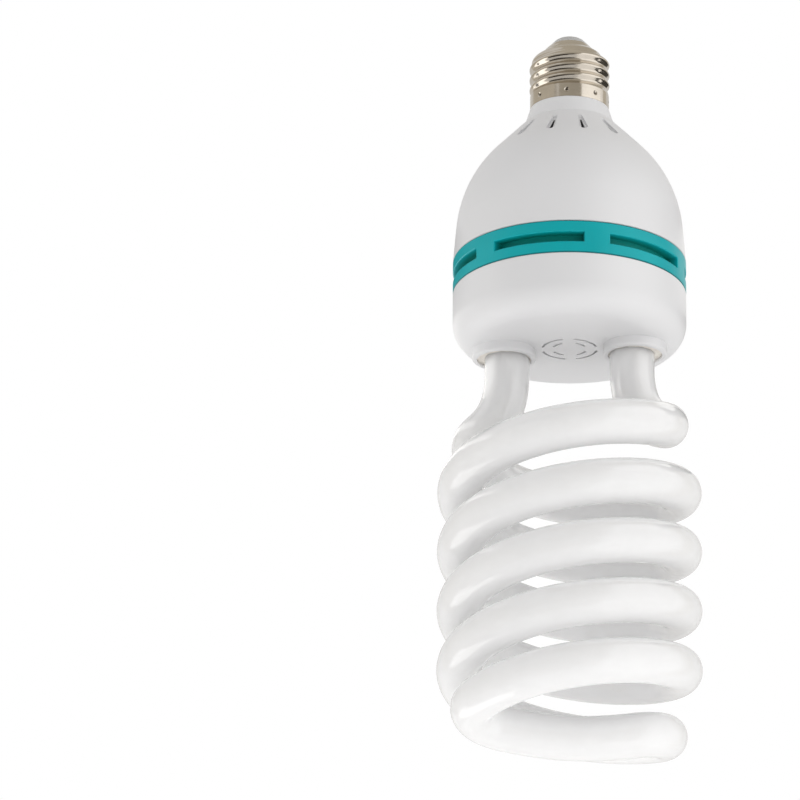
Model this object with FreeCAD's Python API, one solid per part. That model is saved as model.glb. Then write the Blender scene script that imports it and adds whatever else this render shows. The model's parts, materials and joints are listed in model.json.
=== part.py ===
"""Spiral energy saving lamp: screw cap, ballast housing and double helix tube, in millimetres."""
import FreeCAD, Part
import math
import os

V = FreeCAD.Vector
UP = V(0, 0, 1)
AXIS = V(0, 0, 0)

# The origin is the centre of the cap's end contact. +Z points out of the cap, so the lamp hangs below it.

# Screw cap, a 27 mm round thread
PITCH = 3.63
CREST_R = 13.1
ROOT_R = 12.05
THREAD_TURNS = 3.0
THREAD_START = 77.0
RUN_OUT = 1.2
THREAD_FADE = 0.8
SHELL_WALL = 0.55
SKIRT_R = 12.9
SKIRT_H = 4.6
SHOULDER_H = 4.4
COLLAR_R = 8.0
COLLAR_H = 1.4
DIMPLES = 8
DIMPLE_R = 1.2
DIMPLE_DEPTH = 0.35
DIMPLE_TURN = -88.0
CONTACT_R = 4.2
CONTACT_H = 0.8
INSULATOR_R = 6.6
INSULATOR_H = 2.4
INSULATOR_PLUG = 2.2

# Upper housing, a bell with a neck
WALL = 2.0
NECK_H = 5.4
NECK_R = 14.6
CORE_WALL = 1.6
CONE_ANGLE = 44.2
BELL_DRAFT = 4.9
BELL_BLEND = 42.0
BELL_H = 48.5
BELL_R = 37.85
TOP_VENTS = 14
TOP_VENT_W = 2.8
TOP_VENT_R = 21.5
TOP_VENT_LENGTH = 7.6
TOP_VENT_DEPTH = 0.7
TOP_VENT_SLIT = 1.1
TOP_VENT_TURN = -73.0

# Vent ring
RING_H = 11.0
RING_DEPTH = 4.4
RING_SLOTS = 6
SLOT_SWEEP = 47.0
SLOT_TURN = -100.1
SLOT_H = 3.3
SLOT_DEPTH = 3.8
SLOT_EDGE = 0.35
LIP_H = 2.6
LIP_W = 1.6
SEAM = 0.4

# Lower housing
COVER_H = 18.7
COVER_EDGE = 8.5
SPIGOT_WALL = 1.9
SPIGOT_RISE = 13.0
LEDGE_W = 2.4
COLLAR_X = 21.3
COLLAR_OUT_R = 10.4
MOUTH_R = 8.8
COLLAR_DROP = 3.1
SOCKET_H = 5.0
ARC_VENTS = 4
ARC_VENT_R = 8.8
ARC_VENT_INNER_R = 5.5
ARC_VENT_W = 0.9
ARC_VENT_SWEEP = 62.0
ARC_VENT_INNER_SWEEP = 36.0
ARC_VENT_TURN = 48.5

# Glass tube
TUBE_R = 7.25
COIL_R = 35.2
LEAD = 40.2
LEG_X = 20.3
LEG_TOP = 11.5
LEG_STRAIGHT = 7.6
COIL_TOP = 30.4
ENTRY_ANGLE = 55.0
ENTRY_X = 30.8
ENTRY_Y = 4.0
ENTRY_DROP = 21.6
EXIT_ANGLE = 857.6
CURL_R = 11.0
BRIDGE_DROP = 6.4
CEMENT_RECESS = 1.0

# Circuit board, with the place of each component on it as x and y
BOARD_T = 1.6
BOARD_RISE = 3.2
PIN_R = 0.4
PIN_TAIL = 1.4
HOLE_GAP = 0.15
FIT = 0.2
LEAD_R = 0.35
CABLE_R = 0.75
CABLE_ROOM = 1.5
CAN_AT = (-8.0, 9.0)
CAN_R = 8.0
CAN_H = 30.0
CAN_PINS = 7.5
CHOKE_AT = (9.0, -3.0)
CHOKE_W = 20.0
CHOKE_D = 6.5
CHOKE_H = 18.0
CHOKE_LEG = 3.6
CHOKE_MID = 6.6
BOBBIN_D = 13.0
BOBBIN_H = 1.6
DRUM_AT = (-12.5, -7.5)
DRUM_R = 4.5
DRUM_H = 11.0
TOROID_AT = (-21.0, 1.0)
TOROID_R = 5.5
TOROID_IN_R = 3.0
TOROID_H = 5.0
TRANSISTOR_Y = 14.0
TRANSISTOR_X = 11.0
TRANSISTOR_STEP = 11.0
TRANSISTOR_W = 10.0
FILTER_AT = (-6.0, -20.0)
FILTER_SIZE = (13.0, 6.0, 11.0)
RESONANCE_AT = (9.0, -19.5)
RESONANCE_SIZE = (12.0, 5.0, 9.5)
COUPLING_AT = (-5.2, -8.0)
COUPLING_SIZE = (4.6, 10.0, 9.0)
FUSE_AT = (-17.0, -16.0)
FUSE_R = 1.7
FUSE_H = 9.0
THERMISTOR_AT = (22.8, -6.0)
THERMISTOR_R = 4.0
THERMISTOR_T = 3.0
DIODES = 4
DIODE_STEP = 4.0
DIODE_Y = 20.0
DIODE_R = 1.35
DIODE_H = 5.2
HAIRPIN = 3.2
POST_W = 1.0
POST_Y = 9.0
POST_RISE = 4.0
TUBE_LEAD_Y = 2.5
TUBE_LEAD_RISE = 4.0
LIVE_AT = (2.5, 8.5)
NEUTRAL_AT = (-15.0, 17.0)

# Levels from the contact down
INSULATOR_Z = -INSULATOR_H
SHOULDER_Z = INSULATOR_Z - COLLAR_H
THREAD_TOP = SHOULDER_Z - SHOULDER_H
THREAD_END = THREAD_TOP - THREAD_TURNS * PITCH
SKIRT_TOP = THREAD_END - RUN_OUT
CAP_RIM = SKIRT_TOP - SKIRT_H
CREASE_Z = CAP_RIM - NECK_H
RING_TOP = CREASE_Z - BELL_H
JOINT_Z = RING_TOP - RING_H
FLOOR_Z = JOINT_Z - COVER_H
FLOOR_TOP = FLOOR_Z + WALL
COLLAR_Z = FLOOR_Z - COLLAR_DROP
SPIGOT_R = BELL_R - RING_DEPTH - FIT
BOARD_R = SPIGOT_R - SPIGOT_WALL - FIT
BOARD_Z = JOINT_Z + BOARD_RISE
BOARD_TOP = BOARD_Z + BOARD_T
THREAD_MID_R = (CREST_R + ROOT_R) / 2
THREAD_OFFSET = (CREST_R - ROOT_R) / 2
CORE_R = ROOT_R - SHELL_WALL - FIT
CORE_IN_R = CORE_R - CORE_WALL
CORE_TOP = THREAD_TOP - 0.8
LEG_END = FLOOR_Z + LEG_TOP
TUBE_BEND_Z = FLOOR_Z - LEG_STRAIGHT
COIL_Z = FLOOR_Z - COIL_TOP


def polar(radius, degrees, z=0.0):
    """Point at a radius and an angle from +X, at height z."""
    turn = math.radians(degrees)
    return V(radius * math.cos(turn), radius * math.sin(turn), z)


def corner(before, point, after, radius):
    """Start, middle and end of the arc that rounds one corner of a path."""
    back = (before - point).normalize()
    ahead = (after - point).normalize()
    half = back.getAngle(ahead) / 2
    run = radius / math.tan(half)
    bisector = (back + ahead).normalize()
    middle = point + bisector * (radius / math.sin(half) - radius)
    return point + back * run, middle, point + ahead * run


def rounded_path(points, radii, closed):
    """Straight runs between points, joined by tangent arcs where a radius is given."""
    count = len(points)
    stops = []
    for i, radius in enumerate(radii):
        if radius > 0:
            stops.append(corner(points[i - 1], points[i], points[(i + 1) % count], radius))
        else:
            stops.append((points[i],))
    edges = []
    for i, stop in enumerate(stops):
        if len(stop) == 3:
            edges.append(Part.Arc(*stop).toShape())
        if i + 1 < count or closed:
            ahead = stops[(i + 1) % count][0]
            if (ahead - stop[-1]).Length > 1e-6:
                edges.append(Part.makeLine(stop[-1], ahead))
    return Part.Wire(edges)


def revolved(outline, sweep=360.0):
    """Solid of revolution about Z from corners given as radius, height and rounding."""
    points = [V(r, 0, z) for r, z, _ in outline]
    wire = rounded_path(points, [rounding for _, _, rounding in outline], True)
    return Part.Face(wire).revolve(AXIS, UP, sweep)


def cylinder(radius, bottom, top, x=0.0, y=0.0):
    """Upright cylinder between two heights."""
    return Part.makeCylinder(radius, top - bottom, V(x, y, bottom))


def block(width, depth, height, x, y, bottom):
    """Upright box centred on x and y."""
    return Part.makeBox(width, depth, height, V(x - width / 2, y - depth / 2, bottom))


def piped(wire, radius):
    """Round bar along a path."""
    first = wire.OrderedEdges[0]
    direction = first.tangentAt(first.FirstParameter)
    if first.Orientation == "Reversed":
        direction = first.tangentAt(first.LastParameter) * -1
    start = wire.OrderedVertexes[0].Point
    pipe = Part.BRepOffsetAPI.MakePipeShell(wire)
    pipe.add(Part.Wire([Part.makeCircle(radius, start, direction)]))
    pipe.build()
    pipe.makeSolid()
    return pipe.shape()


def bent_wire(points, radius, bend):
    """Wire through straight runs with the same bend at each inner point."""
    radii = [0.0] + [bend] * (len(points) - 2) + [0.0]
    return piped(rounded_path(points, radii, False), radius)


def around(shape, count, start=0.0):
    """Copies of a shape spread evenly about Z."""
    copies = []
    for i in range(count):
        copy = shape.copy()
        copy.rotate(AXIS, UP, start + i * 360.0 / count)
        copies.append(copy)
    return copies


def half_turned(shape):
    """Copy of a shape turned by half a turn about Z."""
    copy = shape.copy()
    copy.rotate(AXIS, UP, 180.0)
    return copy


def thread_form(inset):
    """Screw thread as a circle carried along a slim helix without turning."""
    helix = Part.makeLongHelix(PITCH, THREAD_TURNS * PITCH, THREAD_OFFSET, 0.0)
    helix.rotate(AXIS, UP, THREAD_START)
    helix.translate(V(0, 0, THREAD_END))
    pipe = Part.BRepOffsetAPI.MakePipeShell(Part.Wire(helix.Edges))
    pipe.setTrihedronMode(AXIS, UP)
    start = polar(THREAD_OFFSET, THREAD_START, THREAD_END)
    pipe.add(Part.Wire([Part.makeCircle(THREAD_MID_R - inset, start)]))
    pipe.build()
    pipe.makeSolid()
    return pipe.shape()


def shoulder_form(inset):
    """Narrowing shoulder that the thread fades out on."""
    start = THREAD_START + 360.0 * THREAD_TURNS
    lean = -math.degrees(math.atan(THREAD_OFFSET * THREAD_FADE / SHOULDER_H))
    helix = Part.makeLongHelix(PITCH, SHOULDER_H, THREAD_OFFSET, lean)
    helix.rotate(AXIS, UP, start)
    helix.translate(V(0, 0, THREAD_TOP))
    pipe = Part.BRepOffsetAPI.MakePipeShell(Part.Wire(helix.Edges))
    pipe.setTrihedronMode(AXIS, UP)
    pipe.add(Part.Wire([Part.makeCircle(THREAD_MID_R - inset, polar(THREAD_OFFSET, start, THREAD_TOP))]))
    pipe.add(Part.Wire([Part.makeCircle(COLLAR_R - inset, shoulder_top())]))
    pipe.build()
    pipe.makeSolid()
    return pipe.shape()


def shoulder_top():
    """Where the fading thread leaves the middle of the shoulder's upper end."""
    turn = THREAD_START + 360.0 * (THREAD_TURNS + SHOULDER_H / PITCH)
    return polar(THREAD_OFFSET * (1 - THREAD_FADE), turn, SHOULDER_Z)


def tapered(low_r, low, high_r, high):
    """Smooth run between two level circles."""
    circles = [Part.makeCircle(low_r, low), Part.makeCircle(high_r, high)]
    return Part.makeLoft([Part.Wire([circle]) for circle in circles], True)


def cap_form(inset):
    """Skirt, thread, shoulder and collar of the cap, drawn in by a distance."""
    mid_r = THREAD_MID_R - inset
    low = polar(THREAD_OFFSET, THREAD_START, THREAD_END)
    skirt = cylinder(SKIRT_R - inset, CAP_RIM, SKIRT_TOP)
    run_out = tapered(SKIRT_R - inset, V(0, 0, SKIRT_TOP), mid_r, low)
    collar = tapered(COLLAR_R - inset, shoulder_top(), INSULATOR_R - inset, V(0, 0, INSULATOR_Z))
    return skirt.multiFuse([run_out, thread_form(inset), shoulder_form(inset), collar]).removeSplitter()


def screw_shell():
    """Thin threaded cap with the prick marks that lock it to the neck."""
    shell = cap_form(0.0).cut(cap_form(SHELL_WALL))
    mark_z = (CAP_RIM + SKIRT_TOP) / 2
    mark = Part.makeSphere(DIMPLE_R, V(SKIRT_R + DIMPLE_R - DIMPLE_DEPTH, 0, mark_z))
    return shell.cut(Part.makeCompound(around(mark, DIMPLES, DIMPLE_TURN)))


def cap_insulator():
    """Insulating plug that closes the cap and carries the contact."""
    seat = CONTACT_H - 0.3
    hole = CABLE_R + FIT
    plug_r = INSULATOR_R - SHELL_WALL - FIT
    return revolved([
        (hole, -CONTACT_H, 0),
        (CONTACT_R + 0.1, -CONTACT_H, 0),
        (CONTACT_R + 0.1, -seat, 0),
        (CONTACT_R + 0.6, -seat, 0.2),
        (INSULATOR_R, INSULATOR_Z, 0),
        (plug_r, INSULATOR_Z, 0),
        (plug_r, INSULATOR_Z - INSULATOR_PLUG, 0.5),
        (hole, INSULATOR_Z - INSULATOR_PLUG, 0),
    ])


def centre_contact():
    """Flat end contact with a rounded edge."""
    return revolved([(0, -CONTACT_H, 0), (CONTACT_R, -CONTACT_H, 0), (CONTACT_R, 0, 0.3), (0, 0, 0)])


def bell_corner(inset):
    """Where the cone and the side of the bell would meet, drawn in by a distance."""
    cone = math.tan(math.radians(CONE_ANGLE))
    side = math.tan(math.radians(BELL_DRAFT))
    drop = (BELL_R - NECK_R - side * BELL_H) / (cone - side)
    turn = math.radians((CONE_ANGLE + BELL_DRAFT) / 2)
    reach = inset / math.cos(math.radians((CONE_ANGLE - BELL_DRAFT) / 2))
    return NECK_R + cone * drop - reach * math.cos(turn), CREASE_Z - drop - reach * math.sin(turn)


def teardrop(width, margin):
    """Upright cutter for a vent below the neck: round outside and narrow towards the axis."""
    inner = TOP_VENT_R - TOP_VENT_LENGTH / 2 + margin
    outer = TOP_VENT_R + TOP_VENT_LENGTH / 2 - margin - width / 2
    low = RING_TOP
    narrow = width / 4
    side = [V(inner, -narrow, low), V(outer, -width / 2, low)]
    far = [V(outer, width / 2, low), V(inner, narrow, low)]
    slot = Part.Face(Part.makePolygon(side + far + side[:1])).extrude(UP * BELL_H)
    return slot.fuse(cylinder(width / 2, low, low + BELL_H, outer))


def top_vent():
    """Cutter for one vent: a shallow teardrop with a slit through its floor."""
    cone = math.tan(math.radians(CONE_ANGLE))
    drop = TOP_VENT_DEPTH / math.sin(math.radians(CONE_ANGLE))
    tip = V(0, 0, CREASE_Z - drop + NECK_R / cone)
    floor = Part.makeCone(0, NECK_R + BELL_H * cone, BELL_H + NECK_R / cone, tip, UP * -1)
    hollow = teardrop(TOP_VENT_W, 0.0).cut(floor)
    return hollow.fuse(teardrop(TOP_VENT_SLIT, TOP_VENT_SLIT))


def upper_housing():
    """Bell with the neck core that the cap is pressed on, and vents under the neck."""
    out_r, out_z = bell_corner(0.0)
    in_r, in_z = bell_corner(WALL)
    side = math.tan(math.radians(BELL_DRAFT))
    rim_in = BELL_R - WALL / math.cos(math.radians(BELL_DRAFT))
    cone = math.tan(math.radians(CONE_ANGLE))
    mouth_z = in_z + (in_r - CORE_IN_R) / cone
    body = revolved([
        (CORE_IN_R, CORE_TOP, 0),
        (CORE_R, CORE_TOP, 0.3),
        (CORE_R, CAP_RIM, 0),
        (SKIRT_R, CAP_RIM, 0.2),
        (NECK_R, CREASE_Z, 0),
        (out_r, out_z, BELL_BLEND),
        (BELL_R, RING_TOP, SEAM),
        (rim_in, RING_TOP, 0),
        (in_r, in_z, BELL_BLEND - WALL),
        (CORE_IN_R, mouth_z, 0),
    ])
    return body.cut(Part.makeCompound(around(top_vent(), TOP_VENTS, TOP_VENT_TURN)))


def at_slot_mouth(edge):
    """Whether an edge lies on the ring's outside and round a slot."""
    low = JOINT_Z + SEAM * 2
    high = RING_TOP - SEAM * 2
    outside = [abs(math.hypot(v.X, v.Y) - BELL_R) < 1e-3 and low < v.Z < high for v in edge.Vertexes]
    return len(outside) == 2 and all(outside)


def vent_ring():
    """Coloured band with blind slots, and a lip that centres the bell."""
    inner = BELL_R - RING_DEPTH
    lip_r = BELL_R - WALL - LIP_H * math.tan(math.radians(BELL_DRAFT)) - FIT
    lip_in = max(inner, lip_r - LIP_W)
    band = revolved([
        (inner, JOINT_Z, 0),
        (BELL_R, JOINT_Z, SEAM),
        (BELL_R, RING_TOP, SEAM),
        (lip_r, RING_TOP, 0),
        (lip_r, RING_TOP + LIP_H, 0.3),
        (lip_in, RING_TOP + LIP_H, 0),
        (lip_in, RING_TOP, 0),
        (inner, RING_TOP, 0),
    ])
    low = (RING_TOP + JOINT_Z - SLOT_H) / 2
    floor_r = BELL_R - SLOT_DEPTH
    slot = revolved([
        (floor_r, low, 0),
        (BELL_R + 1, low, 0),
        (BELL_R + 1, low + SLOT_H, 0),
        (floor_r, low + SLOT_H, 0),
    ], SLOT_SWEEP)
    band = band.cut(Part.makeCompound(around(slot, RING_SLOTS, SLOT_TURN - SLOT_SWEEP / 2)))
    return band.makeFillet(SLOT_EDGE, [edge for edge in band.Edges if at_slot_mouth(edge)])


def arc_slot(radius, sweep):
    """Cutter for one curved vent in the floor, with round ends."""
    low = FLOOR_Z - 1
    high = FLOOR_TOP + 1
    half = ARC_VENT_W / 2
    bar = revolved([
        (radius - half, low, 0),
        (radius + half, low, 0),
        (radius + half, high, 0),
        (radius - half, high, 0),
    ], sweep)
    ends = [polar(radius, turn) for turn in (0.0, sweep)]
    return bar.multiFuse([cylinder(half, low, high, end.x, end.y) for end in ends])


def leg_socket():
    """Raised collar outside the floor and socket inside it, for one leg of the tube."""
    socket = revolved([
        (0, COLLAR_Z, 0),
        (COLLAR_OUT_R, COLLAR_Z, 0.9),
        (COLLAR_OUT_R, FLOOR_TOP, 0),
        (MOUTH_R + WALL * 0.7, FLOOR_TOP, 0),
        (MOUTH_R + WALL * 0.7, FLOOR_TOP + SOCKET_H, 0.4),
        (0, FLOOR_TOP + SOCKET_H, 0),
    ])
    socket.translate(V(COLLAR_X, 0, 0))
    return socket


def lower_housing():
    """Cup with a spigot for the ring and bell, a ledge for the board, leg collars and floor vents."""
    spigot_in = SPIGOT_R - SPIGOT_WALL
    ledge_in = spigot_in - LEDGE_W
    cup = revolved([
        (0, FLOOR_Z, 0),
        (BELL_R, FLOOR_Z, COVER_EDGE),
        (BELL_R, JOINT_Z, SEAM),
        (SPIGOT_R, JOINT_Z, 0),
        (SPIGOT_R, JOINT_Z + SPIGOT_RISE, 0.4),
        (spigot_in, JOINT_Z + SPIGOT_RISE, 0),
        (spigot_in, BOARD_Z, 0),
        (ledge_in, BOARD_Z, 0),
        (ledge_in, BOARD_Z - LEDGE_W, 0),
        (BELL_R - WALL, BOARD_Z - LEDGE_W - WALL * 3, 0),
        (BELL_R - WALL, FLOOR_TOP, COVER_EDGE - WALL),
        (0, FLOOR_TOP, 0),
    ])
    sockets = [leg_socket(), half_turned(leg_socket())]
    mouth = cylinder(MOUTH_R, COLLAR_Z - 1, BOARD_Z, COLLAR_X)
    vents = []
    for radius, sweep in ((ARC_VENT_R, ARC_VENT_SWEEP), (ARC_VENT_INNER_R, ARC_VENT_INNER_SWEEP)):
        vents += around(arc_slot(radius, sweep), ARC_VENTS, ARC_VENT_TURN - sweep / 2)
    cuts = [mouth, half_turned(mouth)] + vents
    return cup.multiFuse(sockets).cut(Part.makeCompound(cuts)).removeSplitter()


def coil_point(degrees):
    """Point of the helix, an angle below its start at +X."""
    return polar(COIL_R, -degrees, COIL_Z - LEAD * degrees / 360.0)


def coil_direction(degrees):
    """Way the helix runs downwards at an angle."""
    turn = math.radians(degrees)
    slope = LEAD / (2 * math.pi)
    return V(-COIL_R * math.sin(turn), -COIL_R * math.cos(turn), -slope).normalize()


def spline(points, first, last):
    """Smooth curve through points with given directions at both ends."""
    steps = [0.0]
    for before, after in zip(points, points[1:]):
        steps.append(steps[-1] + (after - before).Length)
    curve = Part.BSplineCurve()
    curve.interpolate(Points=points, Parameters=steps, InitialTangent=first, FinalTangent=last)
    return curve.toShape()


def coil_run():
    """Helix between the two bends of one strand, as a chain of edges."""
    sweep = EXIT_ANGLE - ENTRY_ANGLE
    helix = Part.makeLongHelix(LEAD, LEAD * sweep / 360.0, COIL_R, 0.0)
    helix.rotate(AXIS, UP, -EXIT_ANGLE)
    helix.translate(V(0, 0, coil_point(EXIT_ANGLE).z))
    return helix.Edges


def bezier(first, first_way, last, last_way, length):
    """Smooth edge between two points with a given direction at each."""
    curve = Part.BezierCurve()
    curve.setPoles([first, first + first_way * (length / 3), last - last_way * (length / 3), last])
    return curve.toShape()


def bridge_half():
    """Curl from the end of the helix into the straight run that crosses the axis."""
    reach = COIL_R - CURL_R
    lean = math.asin(CURL_R / reach)
    turned = math.pi / 2 + lean
    curl = turned * CURL_R
    whole = curl + reach * math.cos(lean)
    steep = whole * LEAD / (2 * math.pi * COIL_R)
    centre = polar(reach, -EXIT_ANGLE)
    start = coil_point(EXIT_ANGLE).z
    stops = []
    for share in (0.0, 1 / 3, 2 / 3, 1.0, whole / curl):
        path = curl * share / whole
        fall = BRIDGE_DROP * path * path * (3 - 2 * path) + steep * path * (1 - path) ** 2
        slope = 6 * BRIDGE_DROP * path * (1 - path) + steep * (1 - path) * (1 - 3 * path)
        bearing = -EXIT_ANGLE - math.degrees(turned) * min(share, 1.0)
        point = centre + polar(CURL_R, bearing, start - fall)
        heading = polar(1.0, bearing - 90)
        if share > 1:
            point = V(0, 0, start - fall)
        stops.append((point, (heading - UP * (slope / whole)).normalize(), path * whole))
    edges = []
    for (first, first_way, begun), (last, last_way, ended) in zip(stops, stops[1:]):
        edges.append(bezier(first, first_way, last, last_way, (ended - begun) * 1.01))
    return edges


def strand():
    """Centre line of one half of the tube, from the top of a leg to the axis."""
    bend = V(LEG_X, 0, TUBE_BEND_Z)
    leg = Part.makeLine(V(LEG_X, 0, LEG_END), bend)
    elbow = V(ENTRY_X, -ENTRY_Y, TUBE_BEND_Z - ENTRY_DROP)
    entry = [bend, elbow, coil_point(ENTRY_ANGLE)]
    turn_in = spline(entry, UP * -1, coil_direction(ENTRY_ANGLE))
    return [leg, turn_in] + coil_run() + bridge_half()


def spiral_tube():
    """Sealed glass tube: two legs, two helices half a turn apart and the bridge below."""
    edges = strand()
    edges += [half_turned(edge) for edge in edges]
    return piped(Part.Wire(Part.sortEdges(edges)[0]), TUBE_R)


def leg_cement():
    """Cement that fills a collar round a leg."""
    plug = cylinder(MOUTH_R, COLLAR_Z + CEMENT_RECESS, FLOOR_TOP + SOCKET_H, COLLAR_X)
    return plug.cut(cylinder(TUBE_R, COLLAR_Z, BOARD_Z, LEG_X))


def pair(at, step, turned=False):
    """Two pin places either side of a point, across it or along it."""
    x, y = at
    if turned:
        return [(x, y - step / 2), (x, y + step / 2)]
    return [(x - step / 2, y), (x + step / 2, y)]


def transistor_places(side):
    """Three pin places in a row under one transistor."""
    x = TRANSISTOR_X + side * TRANSISTOR_STEP / 2
    return [(x + step * TRANSISTOR_W / 4, TRANSISTOR_Y) for step in (-1, 0, 1)]


def bobbin_places():
    """Four pin places under the corners of the choke."""
    x, y = CHOKE_AT
    reach = CHOKE_W / 2 - 2
    return pair((x, y - BOBBIN_D / 2 + 2), reach * 2) + pair((x, y + BOBBIN_D / 2 - 2), reach * 2)


def diode_at(index):
    """Place of one rectifier diode in its row."""
    return (index - (DIODES - 1) / 2) * DIODE_STEP, DIODE_Y


def post_at(index):
    """Place of one wire post, two beside each leg of the tube."""
    return (LEG_X if index < 2 else -LEG_X), (POST_Y if index % 2 else -POST_Y)


def pin_places():
    """Every place where a wire leg goes through the board."""
    places = pair(CAN_AT, CAN_PINS) + bobbin_places()
    places += pair(DRUM_AT, DRUM_R) + pair(TOROID_AT, TOROID_R + TOROID_IN_R, True)
    places += transistor_places(-1) + transistor_places(1)
    places += film_places(FILTER_AT, FILTER_SIZE) + film_places(RESONANCE_AT, RESONANCE_SIZE)
    places += film_places(COUPLING_AT, COUPLING_SIZE)
    places += pair(THERMISTOR_AT, THERMISTOR_R, True)
    stands = [FUSE_AT] + [diode_at(i) for i in range(DIODES)]
    return places + stands + [hairpin_foot(at) for at in stands]


def hairpin_foot(at):
    """Place where the bent-over lead of a standing component comes down, away from the axis."""
    reach = math.hypot(*at)
    return at[0] * (1 + HAIRPIN / reach), at[1] * (1 + HAIRPIN / reach)


def with_pins(body, places, rise=0.5):
    """Component body fused with wire legs that go down through the board."""
    low = BOARD_Z - PIN_TAIL
    legs = [cylinder(PIN_R, low, BOARD_TOP + rise, x, y) for x, y in places]
    return body.multiFuse(legs).removeSplitter()


def circuit_board():
    """Round board drilled for every leg and post."""
    board = cylinder(BOARD_R, BOARD_Z, BOARD_TOP)
    low = BOARD_Z - 1
    high = BOARD_TOP + 1
    holes = [cylinder(PIN_R + HOLE_GAP, low, high, x, y) for x, y in pin_places()]
    wide = POST_W + 2 * HOLE_GAP
    holes += [block(wide, wide, high - low, *post_at(i), low) for i in range(4)]
    return board.cut(Part.makeCompound(holes))


def smoothing_capacitor():
    """Tall can with a crimped groove near its foot."""
    can = revolved([
        (0, 0, 0),
        (CAN_R, 0, 0.5),
        (CAN_R, CAN_H * 0.08, 0.4),
        (CAN_R * 0.92, CAN_H * 0.11, 0.6),
        (CAN_R, CAN_H * 0.14, 0.4),
        (CAN_R, CAN_H, 0.9),
        (0, CAN_H, 0),
    ])
    can.translate(V(*CAN_AT, BOARD_TOP))
    return with_pins(can, pair(CAN_AT, CAN_PINS))


def choke_bobbin():
    """Foot of the choke, with its four pins."""
    foot = block(CHOKE_W, BOBBIN_D, BOBBIN_H, *CHOKE_AT, BOARD_TOP)
    return with_pins(foot, bobbin_places())


def choke_core():
    """Ferrite frame with a middle leg."""
    low = BOARD_TOP + BOBBIN_H
    frame = block(CHOKE_W, CHOKE_D, CHOKE_H, *CHOKE_AT, low)
    gap = (CHOKE_W - CHOKE_MID) / 2 - CHOKE_LEG
    high = CHOKE_H - 2 * CHOKE_LEG
    x, y = CHOKE_AT
    shift = (CHOKE_MID + gap) / 2
    windows = [block(gap, CHOKE_D + 2, high, x + side * shift, y, low + CHOKE_LEG) for side in (-1, 1)]
    return frame.cut(Part.makeCompound(windows))


def choke_winding():
    """Wound block round the middle leg, resting in the frame."""
    gap = (CHOKE_W - CHOKE_MID) / 2 - CHOKE_LEG - FIT
    low = BOARD_TOP + BOBBIN_H + CHOKE_LEG
    high = CHOKE_H - 2 * CHOKE_LEG - FIT
    winding = block(CHOKE_MID + 2 * gap, CHOKE_D + 2 * gap, high, *CHOKE_AT, low)
    upright = [edge for edge in winding.Edges if abs(edge.tangentAt(0).z) > 0.9]
    winding = winding.makeFillet(gap * 0.7, upright)
    core = block(CHOKE_MID, CHOKE_D, CHOKE_H, *CHOKE_AT, low - 1)
    return winding.cut(core)


def input_choke():
    """Drum core with its winding between two flanges."""
    flange = DRUM_H * 0.12
    drum = revolved([
        (0, 0, 0),
        (DRUM_R, 0, 0.3),
        (DRUM_R, flange, 0),
        (DRUM_R * 0.86, flange, 0),
        (DRUM_R * 0.86, DRUM_H - flange, 0),
        (DRUM_R, DRUM_H - flange, 0),
        (DRUM_R, DRUM_H, 0.3),
        (0, DRUM_H, 0),
    ])
    drum.translate(V(*DRUM_AT, BOARD_TOP))
    return with_pins(drum, pair(DRUM_AT, DRUM_R))


def drive_toroid():
    """Small ring core of the drive transformer, lying on the board."""
    edge = (TOROID_R - TOROID_IN_R) * 0.3
    ring = revolved([
        (TOROID_IN_R, 0, edge),
        (TOROID_R, 0, edge),
        (TOROID_R, TOROID_H, edge),
        (TOROID_IN_R, TOROID_H, edge),
    ])
    ring.translate(V(*TOROID_AT, BOARD_TOP))
    return with_pins(ring, pair(TOROID_AT, TOROID_R + TOROID_IN_R, True), TOROID_H / 2)


def transistor(side):
    """Power transistor: moulded body on a metal tab with a hole."""
    x = TRANSISTOR_X + side * TRANSISTOR_STEP / 2
    deep = TRANSISTOR_W * 0.45
    thin = TRANSISTOR_W * 0.13
    body = block(TRANSISTOR_W, deep, TRANSISTOR_W * 0.9, x, TRANSISTOR_Y, BOARD_TOP)
    tab_y = TRANSISTOR_Y + deep / 2 - thin / 2
    tab = block(TRANSISTOR_W, thin, TRANSISTOR_W * 1.55, x, tab_y, BOARD_TOP)
    eye_at = V(x, tab_y - deep / 2, BOARD_TOP + TRANSISTOR_W * 1.25)
    eye = Part.makeCylinder(TRANSISTOR_W * 0.18, deep, eye_at, V(0, 1, 0))
    return with_pins(body.fuse(tab).cut(eye), transistor_places(side))


def film_places(at, size):
    """Two pin places along the longer side of a film capacitor."""
    return pair(at, max(size[:2]) - 3, size[1] > size[0])


def film_capacitor(at, size):
    """Dipped film capacitor with rounded edges."""
    body = block(*size, *at, BOARD_TOP)
    upright = [edge for edge in body.Edges if abs(edge.tangentAt(0).z) > 0.9]
    return with_pins(body.makeFillet(min(size[:2]) * 0.3, upright), film_places(at, size))


def standing(at, radius, height):
    """Axial component on end, with its upper lead bent over and down through the board."""
    x, y = at
    foot_x, foot_y = hairpin_foot(at)
    top = BOARD_TOP + height
    over = top + HAIRPIN / 2
    body = revolved([(0, 0, 0), (radius, 0, 0.2), (radius, height, 0.2), (0, height, 0)])
    body.translate(V(x, y, BOARD_TOP))
    route = [V(x, y, top - 0.5), V(x, y, over), V(foot_x, foot_y, over)]
    route.append(V(foot_x, foot_y, BOARD_Z - PIN_TAIL))
    return with_pins(body.fuse(bent_wire(route, LEAD_R, HAIRPIN * 0.3)), [at])


def thermistor():
    """Disc on edge."""
    x, y = THERMISTOR_AT
    side = V(x - THERMISTOR_T / 2, y, BOARD_TOP + THERMISTOR_R)
    disc = Part.makeCylinder(THERMISTOR_R, THERMISTOR_T, side, V(1, 0, 0))
    return with_pins(disc, pair(THERMISTOR_AT, THERMISTOR_R, True), THERMISTOR_R / 2)


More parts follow.
